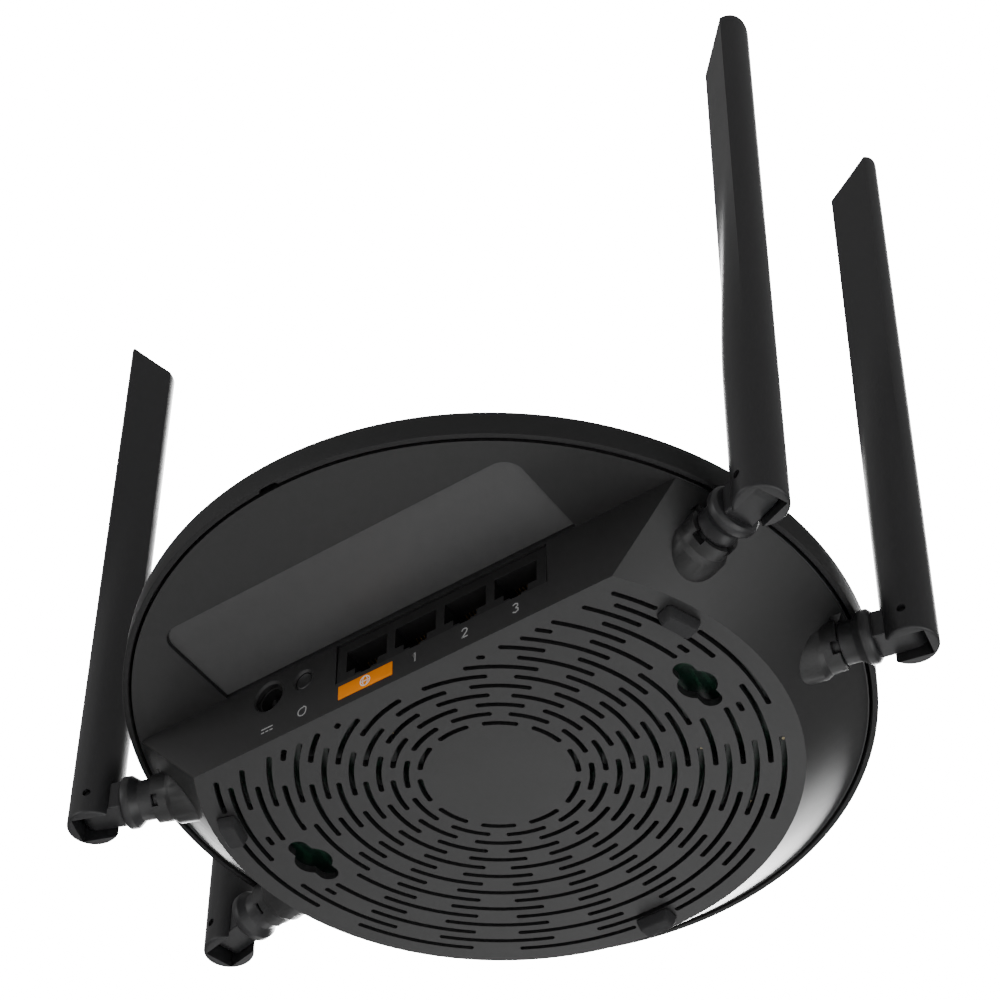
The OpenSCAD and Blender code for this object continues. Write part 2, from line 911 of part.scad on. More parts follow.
bottom_shell();
top_cover();
feet();
rating_label();
wan_label();
housing_screws();
light_pipe();
main_board();
board_screws();
lan_jack_housing();
lan_jack_shield();
lan_contacts();
dc_jack();
dc_pin();
reset_button();
reset_switch();
processor();
heat_sink();
rf_shields();
memory_chips();
lan_transformers();
capacitors();
inductors();
crystal();
status_leds();
antenna_sockets();
antenna_leads();
swivel_rr();
swivel_rf();
swivel_lr();
swivel_lf();
hinge_pins_rr();
hinge_pins_rf();
hinge_pins_lr();
hinge_pins_lf();
blade_rr();
blade_rf();
blade_lr();
blade_lf();
aerial_rr();
aerial_rf();
aerial_lr();
aerial_lf();
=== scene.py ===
"""Looks for a round wireless router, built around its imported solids.

Every length below is in millimetres until a surface is placed, and in metres
from then on. Each sub-assembly is a class that builds and dresses its pieces.
"""

from __future__ import annotations

import json
import logging
import math
import sys
from dataclasses import dataclass, field
from enum import Enum
from typing import Any, Iterable, Sequence
import bmesh  # noqa: E402
import bpy  # noqa: E402
import numpy as np  # noqa: E402
from mathutils import Matrix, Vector  # noqa: E402


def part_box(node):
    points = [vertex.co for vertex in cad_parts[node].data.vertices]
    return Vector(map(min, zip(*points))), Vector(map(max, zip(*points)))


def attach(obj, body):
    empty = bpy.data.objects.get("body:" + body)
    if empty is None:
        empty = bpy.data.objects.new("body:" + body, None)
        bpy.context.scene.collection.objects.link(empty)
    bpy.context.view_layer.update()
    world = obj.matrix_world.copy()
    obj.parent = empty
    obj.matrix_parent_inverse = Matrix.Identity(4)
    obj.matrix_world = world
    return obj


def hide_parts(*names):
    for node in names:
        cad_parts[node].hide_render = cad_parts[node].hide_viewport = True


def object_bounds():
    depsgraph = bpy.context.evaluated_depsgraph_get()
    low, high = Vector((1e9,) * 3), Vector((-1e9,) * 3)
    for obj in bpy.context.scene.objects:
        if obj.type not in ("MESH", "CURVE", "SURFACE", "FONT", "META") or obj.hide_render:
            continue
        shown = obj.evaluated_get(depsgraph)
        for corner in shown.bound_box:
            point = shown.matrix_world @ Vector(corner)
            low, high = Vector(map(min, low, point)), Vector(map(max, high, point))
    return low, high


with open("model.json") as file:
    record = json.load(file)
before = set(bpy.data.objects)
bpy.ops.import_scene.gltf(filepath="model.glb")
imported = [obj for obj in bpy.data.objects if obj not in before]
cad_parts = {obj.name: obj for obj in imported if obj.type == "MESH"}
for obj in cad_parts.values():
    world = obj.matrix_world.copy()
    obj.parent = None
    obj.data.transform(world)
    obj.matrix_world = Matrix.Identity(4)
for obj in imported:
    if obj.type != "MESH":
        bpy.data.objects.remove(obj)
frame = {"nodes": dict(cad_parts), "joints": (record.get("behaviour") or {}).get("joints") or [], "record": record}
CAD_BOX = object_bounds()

LOG = logging.getLogger("router")
MM = 0.001
Array = np.ndarray
Colour = tuple[float, float, float]


# ---- shader maths ----


class Wire:
    """A shader value that takes part in Python sums."""

    def __init__(self, maker: "NodeMaker", socket: bpy.types.NodeSocket) -> None:
        """Wraps an output socket of a tree that maker writes."""
        self.maker = maker
        self.socket = socket

    def _sum(self, operation: str, left: Any, right: Any) -> "Wire":
        """A Math node of two values.

        Args:
            operation: the Math node's operation.
            left: the first value, a number or a Wire.
            right: the second value, a number or a Wire.

        Returns:
            The result as a Wire.
        """
        node = self.maker.node("Math", {"operation": operation}, {0: left, 1: right})
        return Wire(self.maker, node.outputs[0])

    def __add__(self, other: Any) -> "Wire":
        """self + other."""
        return self._sum("ADD", self, other)

    def __radd__(self, other: Any) -> "Wire":
        """other + self."""
        return self._sum("ADD", other, self)

    def __sub__(self, other: Any) -> "Wire":
        """self - other."""
        return self._sum("SUBTRACT", self, other)

    def __rsub__(self, other: Any) -> "Wire":
        """other - self."""
        return self._sum("SUBTRACT", other, self)

    def __mul__(self, other: Any) -> "Wire":
        """self * other."""
        return self._sum("MULTIPLY", self, other)

    def __rmul__(self, other: Any) -> "Wire":
        """other * self."""
        return self._sum("MULTIPLY", other, self)

    def __gt__(self, other: Any) -> "Wire":
        """1 where self is greater than other, else 0."""
        return self._sum("GREATER_THAN", self, other)

    def fold(self, other: float) -> "Wire":
        """self folded into the range from 0 to other and back."""
        return self._sum("PINGPONG", self, other)


class NodeMaker:
    """Writes one material's nodes."""

    def __init__(self, name: str) -> None:
        """Starts a material with a Principled shader."""
        self.material = bpy.data.materials.new(name)
        self.material.use_nodes = True
        self.tree = self.material.node_tree
        self.shader = self.tree.nodes["Principled BSDF"]

    def node(
        self,
        kind: str,
        settings: dict[str, Any] | None = None,
        inputs: dict[Any, Any] | None = None,
    ) -> bpy.types.Node:
        """Makes any shader node.

        Args:
            kind: the node's type, without the ShaderNode prefix.
            settings: its properties; "stops" are a ramp's positions and colours.
            inputs: its sockets' numbers, colours or Wires, by name or index.

        Returns:
            The node.
        """
        made = self.tree.nodes.new("ShaderNode" + kind)
        for key, value in (settings or {}).items():
            if key == "stops":
                ramp = made.color_ramp
                while len(ramp.elements) < len(value):
                    ramp.elements.new(0.5)
                for element, (position, tone) in zip(ramp.elements, value):
                    element.position = position
                    element.color = (*tone, 1.0)
            else:
                setattr(made, key, value)
        for key, value in (inputs or {}).items():
            self.feed(made.inputs[key], value)
        return made

    def feed(self, socket: bpy.types.NodeSocket, value: Any) -> None:
        """Links a Wire to a socket, or sets its constant."""
        if isinstance(value, Wire):
            self.tree.links.new(value.socket, socket)
        else:
            socket.default_value = value

    def out(self, node: bpy.types.Node, name: Any = 0) -> Wire:
        """A node's output as a Wire."""
        return Wire(self, node.outputs[name])

    def place(self) -> Wire:
        """The Object coordinates, in metres."""
        return self.out(self.node("TexCoord"), "Object")

    def noise(
        self, grain_mm: float, detail: float = 2.0, where: Wire | None = None
    ) -> Wire:
        """Noise whose features are about grain_mm across, from 0 to 1."""
        scale = 1.0 / (grain_mm * MM)
        inputs = {"Vector": where or self.place(), "Scale": scale, "Detail": detail}
        return self.out(self.node("TexNoise", {}, inputs), "Fac")

    def blend(self, amount: Wire, low: Colour, high: Colour) -> Wire:
        """A colour between low and high."""
        inputs = {0: amount, 6: (*low, 1.0), 7: (*high, 1.0)}
        return self.out(self.node("Mix", {"data_type": "RGBA"}, inputs), 2)

    def bump(self, height: Wire, depth_mm: float, strength: float = 1.0) -> None:
        """Feeds a height from 0 to 1, depth_mm deep, to the shader's normal."""
        inputs = {"Height": height, "Distance": depth_mm * MM, "Strength": strength}
        raised = self.out(self.node("Bump", {}, inputs))
        self.feed(self.shader.inputs["Normal"], raised)

    def set(self, **values: Any) -> None:
        """Sets the shader's sockets; an underscore stands for a space."""
        for key, value in values.items():
            self.feed(self.shader.inputs[key.replace("_", " ")], value)


class SurroundMaker(NodeMaker):
    """Writes the surround's nodes."""

    def __init__(self, name: str) -> None:
        """Starts a world with a Background shader."""
        self.world = bpy.data.worlds.new(name)
        self.world.use_nodes = True
        self.tree = self.world.node_tree
        self.shader = self.tree.nodes["Background"]


# ---- finishes ----


def scaled(tone: Colour, by: float) -> Colour:
    """A colour, darker or lighter by a factor."""
    return tuple(min(1.0, channel * by) for channel in tone)


@dataclass(frozen=True)
class Moulding:
    """Injection-moulded plastic: spark-eroded grain, faint flow marks and handling."""

    name: str
    tone: Colour
    rough: float = 0.5
    grain_mm: float = 0.35
    grain_depth_mm: float = 0.012
    flow_mm: float = 45.0
    spread: float = 0.10
    gloss: float = 0.5

    def make(self) -> bpy.types.Material:
        """Builds the material: grain, flow tone and polished patches."""
        maker = NodeMaker(self.name)
        grain = maker.noise(self.grain_mm, 3.0)
        flow = maker.noise(self.flow_mm, 4.0)
        handled = maker.noise(self.flow_mm * 0.4, 5.0)
        low = scaled(self.tone, 1 - self.spread)
        high = scaled(self.tone, 1 + self.spread)
        maker.set(
            Base_Color=maker.blend(flow, low, high),
            Roughness=self.rough - 0.06 + grain * 0.06 + handled * 0.08,
        )
        maker.shader.inputs["Specular IOR Level"].default_value = self.gloss
        maker.bump(grain, self.grain_depth_mm, 0.6)
        return maker.material


@dataclass(frozen=True)
class SoftRubber:
    """Matt rubber with a patchy bloom and a coarse skin."""

    name: str
    tone: Colour

    def make(self) -> bpy.types.Material:
        """Builds the material: a dusty bloom over a pitted skin."""
        maker = NodeMaker(self.name)
        bloom = maker.noise(3.0, 5.0)
        skin = maker.noise(0.25, 2.0)
        hollow, dusty = scaled(self.tone, 0.8), scaled(self.tone, 1.5)
        maker.set(
            Base_Color=maker.blend(bloom, hollow, dusty),
            Roughness=0.72 + bloom * 0.15,
        )
        maker.bump(skin, 0.02, 0.7)
        return maker.material


@dataclass(frozen=True)
class Metal:
    """Sheet or turned metal with fine drawn lines along one axis."""

    name: str
    tone: Colour
    rough: float = 0.3
    stretch: tuple[float, float, float] = (1.0, 30.0, 1.0)

    def make(self) -> bpy.types.Material:
        """Builds the material: drawn lines and a slight stain."""
        maker = NodeMaker(self.name)
        drawn = {"Vector": maker.place(), "Scale": self.stretch}
        mapping = maker.node("Mapping", {}, drawn)
        lines = maker.noise(1.2, 3.0, maker.out(mapping))
        stain = maker.noise(6.0, 3.0)
        maker.set(
            Base_Color=maker.blend(stain, scaled(self.tone, 0.82), self.tone),
            Roughness=self.rough + lines * 0.18,
        )
        maker.shader.inputs["Metallic"].default_value = 1.0
        maker.bump(lines, 0.004, 0.5)
        return maker.material


@dataclass(frozen=True)
class Laminate:
    """Circuit board: solder mask over copper tracks, and plated holes."""

    name: str
    mask: Colour = (0.003, 0.014, 0.009)
    track: Colour = (0.006, 0.028, 0.016)
    pad: Colour = (0.22, 0.19, 0.12)
    pitch_mm: float = 1.9

    def make(self) -> bpy.types.Material:
        """Builds the material: tracks are the fold lines of two warped grids."""
        maker = NodeMaker(self.name)
        where = maker.place()
        bend = maker.noise(14.0, 1.0)
        split = maker.node("SeparateXYZ", {}, {0: where})
        x, y = maker.out(split, 0) * (1 / MM), maker.out(split, 1) * (1 / MM)
        run = (x + bend * 16.0).fold(self.pitch_mm) > self.pitch_mm * 0.68
        across = (y - bend * 12.0).fold(self.pitch_mm) > self.pitch_mm * 0.72
        region = maker.noise(9.0, 0.0) > 0.5
        tracks = run * region + across * (1 - region)
        cell = {"Vector": where, "Scale": 1 / (4.2 * MM), "Randomness": 0.8}
        near = maker.out(maker.node("TexVoronoi", {}, cell), "Distance")
        hole = 1 - (near > 0.13)
        board = maker.blend(tracks, self.mask, self.track)
        plated = {0: hole, 6: board, 7: (*self.pad, 1.0)}
        tone = maker.node("Mix", {"data_type": "RGBA"}, plated)
        maker.set(
            Base_Color=maker.out(tone, 2),
            Roughness=0.34 - hole * 0.1,
            Metallic=hole * 0.9,
        )
        maker.bump(tracks + hole, 0.03, 0.6)
        return maker.material


@dataclass(frozen=True)
class PrintedFilm:
    """Satin printed film with a fine laid texture and slightly uneven ink."""

    name: str
    tone: Colour
    rough: float = 0.42
    gloss: float = 0.5

    def make(self) -> bpy.types.Material:
        """Builds the material: fibres and a soft unevenness of the ink."""
        maker = NodeMaker(self.name)
        ink = maker.noise(5.0, 4.0)
        fibre = maker.noise(0.12, 1.0)
        thin, full = scaled(self.tone, 0.94), scaled(self.tone, 1.06)
        maker.set(
            Base_Color=maker.blend(ink, thin, full),
            Roughness=self.rough + fibre * 0.08,
        )
        maker.shader.inputs["Specular IOR Level"].default_value = self.gloss
        maker.bump(fibre, 0.003, 0.4)
        return maker.material


@dataclass(frozen=True)
class ClearGuide:
    """Clear light guide with a frosted end."""

    name: str
    tone: Colour = (0.75, 0.85, 0.9)

    def make(self) -> bpy.types.Material:
        """Builds the material: tinted glass with uneven frosting."""
        maker = NodeMaker(self.name)
        frost = maker.noise(0.6, 2.0)
        maker.set(Base_Color=maker.blend(frost, scaled(self.tone, 0.85), self.tone))
        maker.set(Roughness=0.25 + frost * 0.2)
        maker.shader.inputs["Transmission Weight"].default_value = 0.6
        return maker.material


class Slot(Enum):
    """The record's material slots."""

    SHELL = "shell_plastic"
    COVER = "cover_plastic"
    ANTENNA = "antenna_plastic"
    FOOT = "foot_rubber"
    LABEL = "label_film"
    MARKING = "port_marking"
    SCREW = "screw_steel"
    CLEAR = "clear_plastic"
    BOARD = "board_laminate"
    JACK = "jack_plastic"
    SHIELD = "shield_steel"
    CONTACT = "contact_gold"
    BUTTON = "button_plastic"
    CHIP = "chip_resin"
    SINK = "sink_aluminium"
    CAN = "can_aluminium"
    LED = "led_resin"
    LEAD = "lead_sheath"


FINISHES: dict[Slot, Any] = {
    Slot.SHELL: Moulding("shell_plastic", (0.0095, 0.0095, 0.0098), rough=0.45),
    Slot.COVER: Moulding(
        "cover_plastic", (0.012, 0.012, 0.0123), rough=0.6, gloss=0.3
    ),
    Slot.ANTENNA: Moulding(
        "antenna_plastic", (0.011, 0.011, 0.012), rough=0.42, grain_mm=0.25
    ),
    Slot.FOOT: SoftRubber("foot_rubber", (0.012, 0.012, 0.013)),
    Slot.LABEL: PrintedFilm("label_film", (0.045, 0.045, 0.0455)),
    Slot.MARKING: PrintedFilm("port_marking", (0.86, 0.235, 0.0), rough=0.6, gloss=0.12),
    Slot.SCREW: Metal("screw_steel", (0.42, 0.42, 0.43)),
    Slot.CLEAR: ClearGuide("clear_plastic"),
    Slot.BOARD: Laminate("board_laminate"),
    Slot.JACK: Moulding(
        "jack_plastic", (0.006, 0.006, 0.0062), rough=0.55, grain_mm=0.5, gloss=0.35
    ),
    Slot.SHIELD: Metal("shield_steel", (0.5, 0.5, 0.5), rough=0.32),
    Slot.CONTACT: Metal("contact_gold", (0.2, 0.13, 0.05), rough=0.34),
    Slot.BUTTON: Moulding("button_plastic", (0.012, 0.012, 0.0125), rough=0.4),
    Slot.CHIP: Moulding(
        "chip_resin", (0.012, 0.012, 0.013), rough=0.6, grain_mm=0.15
    ),
    Slot.SINK: Metal("sink_aluminium", (0.4, 0.41, 0.42), rough=0.42),
    Slot.CAN: Metal(
        "can_aluminium", (0.3, 0.33, 0.38), rough=0.35, stretch=(1, 1, 20)
    ),
    Slot.LED: PrintedFilm("led_resin", (0.8, 0.8, 0.7), rough=0.3),
    Slot.LEAD: SoftRubber("lead_sheath", (0.02, 0.02, 0.021)),
}
INK = PrintedFilm("legend_ink", (0.33, 0.33, 0.33), rough=0.55)
WHITE_INK = PrintedFilm("white_ink", (0.8, 0.78, 0.74), rough=0.5)
BLACKENED = Metal("blackened_steel", (0.03, 0.03, 0.031), rough=0.5)


class Paintbox:
    """Builds each finish once and hands it out."""

    def __init__(self) -> None:
        """Starts with nothing mixed."""
        self.mixed: dict[str, bpy.types.Material] = {}

    def get(self, finish: Any) -> bpy.types.Material:
        """The material of a finish or of a slot."""
        chosen = FINISHES[finish] if isinstance(finish, Slot) else finish
        if chosen.name not in self.mixed:
            self.mixed[chosen.name] = chosen.make()
        return self.mixed[chosen.name]


PAINT = Paintbox()


# ---- surfaces ----


@dataclass(frozen=True)
class Placement:
    """A frame: its rows are the local X, Y and Z axes; the origin is in mm."""

    origin: Array
    axes: Array

    def put(self, points: Array) -> Array:
        """Carries local points into the row frame: origin + point times axes."""
        return self.origin + points @ self.axes


@dataclass
class Surface:
    """Points in millimetres and faces that index them."""

    points: Array
    faces: list[Sequence[int]]

    def placed(self, placement: Placement) -> "Surface":
        """The same surface in another frame."""
        return Surface(placement.put(self.points), self.faces)

    def moved(self, x: float = 0.0, y: float = 0.0, z: float = 0.0) -> "Surface":
        """The same surface, shifted."""
        return Surface(self.points + np.array([x, y, z]), self.faces)


def joined(parts: Iterable[Surface]) -> Surface:
    """Several surfaces as one, with their faces renumbered."""
    points, faces, start = [], [], 0
    for part in parts:
        points.append(part.points)
        faces += [[start + i for i in face] for face in part.faces]
        start += len(part.points)
    return Surface(np.concatenate(points), faces)


def grid_faces(rows: int, columns: int) -> list[Sequence[int]]:
    """Quads between neighbouring rows of a grid whose columns wrap round."""
    row, column = np.meshgrid(np.arange(rows - 1), np.arange(columns), indexing="ij")
    after = (column + 1) % columns
    low, high = row * columns, (row + 1) * columns
    quads = np.stack([low + column, low + after, high + after, high + column], axis=-1)
    return quads.reshape(-1, 4).tolist()


def loft(sections: Array, cap_low: bool = True, cap_high: bool = True) -> Surface:
    """Closed sections joined in order: a grid of quads, and a flat face at each end.

    Args:
        sections: an array (rows, columns, 3), each row anticlockwise from above.
        cap_low: closes the first section.
        cap_high: closes the last section.

    Returns:
        The closed surface.
    """
    rows, columns = sections.shape[:2]
    faces = grid_faces(rows, columns)
    if cap_low:
        faces.append(list(range(columns))[::-1])
    if cap_high:
        faces.append(list(range((rows - 1) * columns, rows * columns)))
    return Surface(sections.reshape(-1, 3), faces)


def turned(profile: Sequence[tuple[float, float]], steps: int = 64) -> Surface:
    """A turned body: radius(t) and height(t) carried round the Z axis.

    Args:
        profile: radius and height pairs, upwards along the outside.
        steps: divisions of the turn.

    Returns:
        The surface, with a flat face wherever an end keeps a radius.
    """
    radius, height = np.array(profile, float).T
    angle = np.linspace(0, 2 * np.pi, steps, endpoint=False)
    sections = np.stack(
        [
            radius[:, None] * np.cos(angle),
            radius[:, None] * np.sin(angle),
            np.broadcast_to(height[:, None], (len(radius), steps)),
        ],
        axis=-1,
    )
    return loft(sections, radius[0] > 0, radius[-1] > 0)


def outline(width: float, depth: float, corner: float, steps: int) -> Array:
    """A rounded rectangle: each corner is a quarter circle about its own centre."""
    corner = min(corner, width / 2 - 1e-6, depth / 2 - 1e-6)
    turn = np.linspace(0, np.pi / 2, steps + 1)
    angles = (np.arange(4)[:, None] * np.pi / 2 + turn).ravel()
    signs = np.repeat([[1, 1], [-1, 1], [-1, -1], [1, -1]], steps + 1, axis=0)
    centres = signs * [width / 2 - corner, depth / 2 - corner]
    return centres + corner * np.stack([np.cos(angles), np.sin(angles)], axis=1)


def middle_across(node: str) -> float:
    """The middle of a CAD node's box along X, in millimetres."""
    low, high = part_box(node)
    return (low[0] + high[0]) / 2 / MM


CORNER_STEPS = 6
LEAST_CORNER = 0.02


def slab(
    size: tuple[float, float, float], corner: float, edge: float, steps: int = 4
) -> Surface:
    """A rounded block on Z = 0: its outline shrinks by a quarter circle at each end.

    Args:
        size: width, depth and height.
        corner: radius of the upright corners.
        edge: radius of the edges round the top and the bottom.
        steps: divisions of each quarter circle.

    Returns:
        The closed surface.
    """
    width, depth, height = size
    turn = np.linspace(0, np.pi / 2, steps + 1)
    start, finish = edge * (1 - np.sin(turn)), edge * (1 - np.cos(turn))
    rows = []
    for inset, level in zip(
        np.concatenate([start, finish]), np.concatenate([finish, height - start])
    ):
        radius = max(corner - inset, LEAST_CORNER)
        ring = outline(width - 2 * inset, depth - 2 * inset, radius, CORNER_STEPS)
        rows.append(np.column_stack([ring, np.full(len(ring), level)]))
    return loft(np.array(rows))


def ribbon(path: Sequence[tuple[float, float]], width: float, height: float) -> Surface:
    """A flat stroke of constant width along a path in the XY plane.

    Each point is pushed half a width along the mean of its neighbours' normals.
    """
    line = np.array(path, float)
    step = np.gradient(line, axis=0)
    step /= np.linalg.norm(step, axis=1, keepdims=True)
    side = np.column_stack([-step[:, 1], step[:, 0]]) * width / 2
    ring = np.concatenate([line + side, (line - side)[::-1]])[::-1]
    low = np.column_stack([ring, np.zeros(len(ring))])
    return loft(np.array([low, low + [0, 0, height]]))


def circle_path(
    radius: float, start: float = 0, end: float = 360, steps: int = 28
) -> Array:
    """Points along an arc, in degrees."""
    angle = np.radians(np.linspace(start, end, steps))
    return radius * np.column_stack([np.cos(angle), np.sin(angle)])


HARD_ANGLE = 32.0
SOLID_HARD_ANGLE = 30.0
MERGE_DISTANCE = 2e-6
LEAST_EDGE = 1e-7


class Workshop:
    """Turns surfaces into dressed pieces that ride on their bodies."""

    def mesh(
        self, name: str, surface: Surface, sharp: float = HARD_ANGLE
    ) -> bpy.types.Object:
        """Makes a closed mesh object whose edges over sharp degrees are hard."""
        data = bpy.data.meshes.new(name)
        data.from_pydata((surface.points * MM).tolist(), [], surface.faces)
        return self.settle(bpy.data.objects.new(name, data), sharp)

    def settle(
        self, obj: bpy.types.Object, sharp: float, outward: bool = True
    ) -> bpy.types.Object:
        """Merges an object's doubles, shades it and links it to the scene."""
        work = bmesh.new()
        work.from_mesh(obj.data)
        bmesh.ops.remove_doubles(work, verts=work.verts, dist=MERGE_DISTANCE)
        bmesh.ops.dissolve_degenerate(work, edges=work.edges, dist=LEAST_EDGE)
        if outward:
            bmesh.ops.recalc_face_normals(work, faces=work.faces)
        work.to_mesh(obj.data)
        work.free()
        obj.data.shade_smooth()
        obj.data.set_sharp_from_angle(angle=math.radians(sharp))
        if obj.name not in bpy.context.scene.collection.objects:
            bpy.context.scene.collection.objects.link(obj)
        return obj

    def dress(
        self, obj: bpy.types.Object, finish: Any, slot: Slot | None = None
    ) -> None:
        """Gives an object one material."""
        obj.data.materials.clear()
        obj.data.materials.append(PAINT.get(finish))

    def bevel(self, obj: bpy.types.Object, width: float, steps: int = 2) -> None:
        """Rounds an object's hard edges."""
        rounding = obj.modifiers.new("rounded_edges", "BEVEL")
        rounding.width = width * MM
        rounding.segments = steps
        rounding.limit_method = "ANGLE"
        rounding.angle_limit = math.radians(HARD_ANGLE)
        rounding.use_clamp_overlap = True
        rounding.harden_normals = True

    def piece(
        self,
        name: str,
        surface: Surface,
        body: str,
        finish: Any,
        stands_for: Sequence[str] = (),
        sharp: float = HARD_ANGLE,
        slot: Slot | None = None,
    ) -> bpy.types.Object:
        """Builds, dresses and mounts one new piece.

        Args:
            name: the piece's name.
            surface: its points and faces, in the row frame.
            body: the CAD body it rides on.
            finish: a slot or a finish.
            stands_for: the CAD nodes it replaces.
            sharp: the angle in degrees above which an edge is hard.
            slot: not used.

        Returns:
            The object.
        """
        obj = self.mesh(name, surface, sharp)
        self.dress(obj, finish, slot)
        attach(obj, body)
        if stands_for:
            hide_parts(*stands_for)
        LOG.info("%s: %d faces on %s", name, len(obj.data.polygons), body)
        return obj

    def softened(
        self, node: str, name: str, body: str, slot: Slot, width: float = 0.0
    ) -> bpy.types.Object:
        """A merged copy of a CAD node's mesh, its edges rounded by a width in mm."""
        data = frame["nodes"][node].data.copy()
        data.name = name
        stored = data.attributes.get("custom_normal")
        if stored is not None:
            data.attributes.remove(stored)
        obj = bpy.data.objects.new(name, data)
        self.settle(obj, SOLID_HARD_ANGLE, outward=False)
        if width:
            self.bevel(obj, width)
        self.dress(obj, slot)
        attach(obj, body)
        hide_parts(node)
        LOG.info("%s: %d faces on %s", name, len(obj.data.polygons), body)
        return obj

    def carried(self, node: str, slot: Slot) -> None:
        """Keeps a CAD node and gives it its finish."""
        self.dress(frame["nodes"][node], slot)
        LOG.info("%s: kept from the solids", node)

    def carve(self, obj: bpy.types.Object, cutters: Sequence[Surface]) -> None:
        """Cuts surfaces out of an object and keeps the result as its mesh."""
        tools = [self.mesh("cutter", cutter, SOLID_HARD_ANGLE) for cutter in cutters]
        for tool in tools:
            cut = obj.modifiers.new("cut", "BOOLEAN")
            cut.operation, cut.solver, cut.object = "DIFFERENCE", "EXACT", tool
        bpy.context.view_layer.update()
        ready = obj.evaluated_get(bpy.context.evaluated_depsgraph_get())
        data = bpy.data.meshes.new_from_object(ready)
        obj.modifiers.clear()
        obj.data = data
        for tool in tools:
            bpy.data.objects.remove(tool)
        self.settle(obj, SOLID_HARD_ANGLE)


SHOP = Workshop()


# ---- housing ----


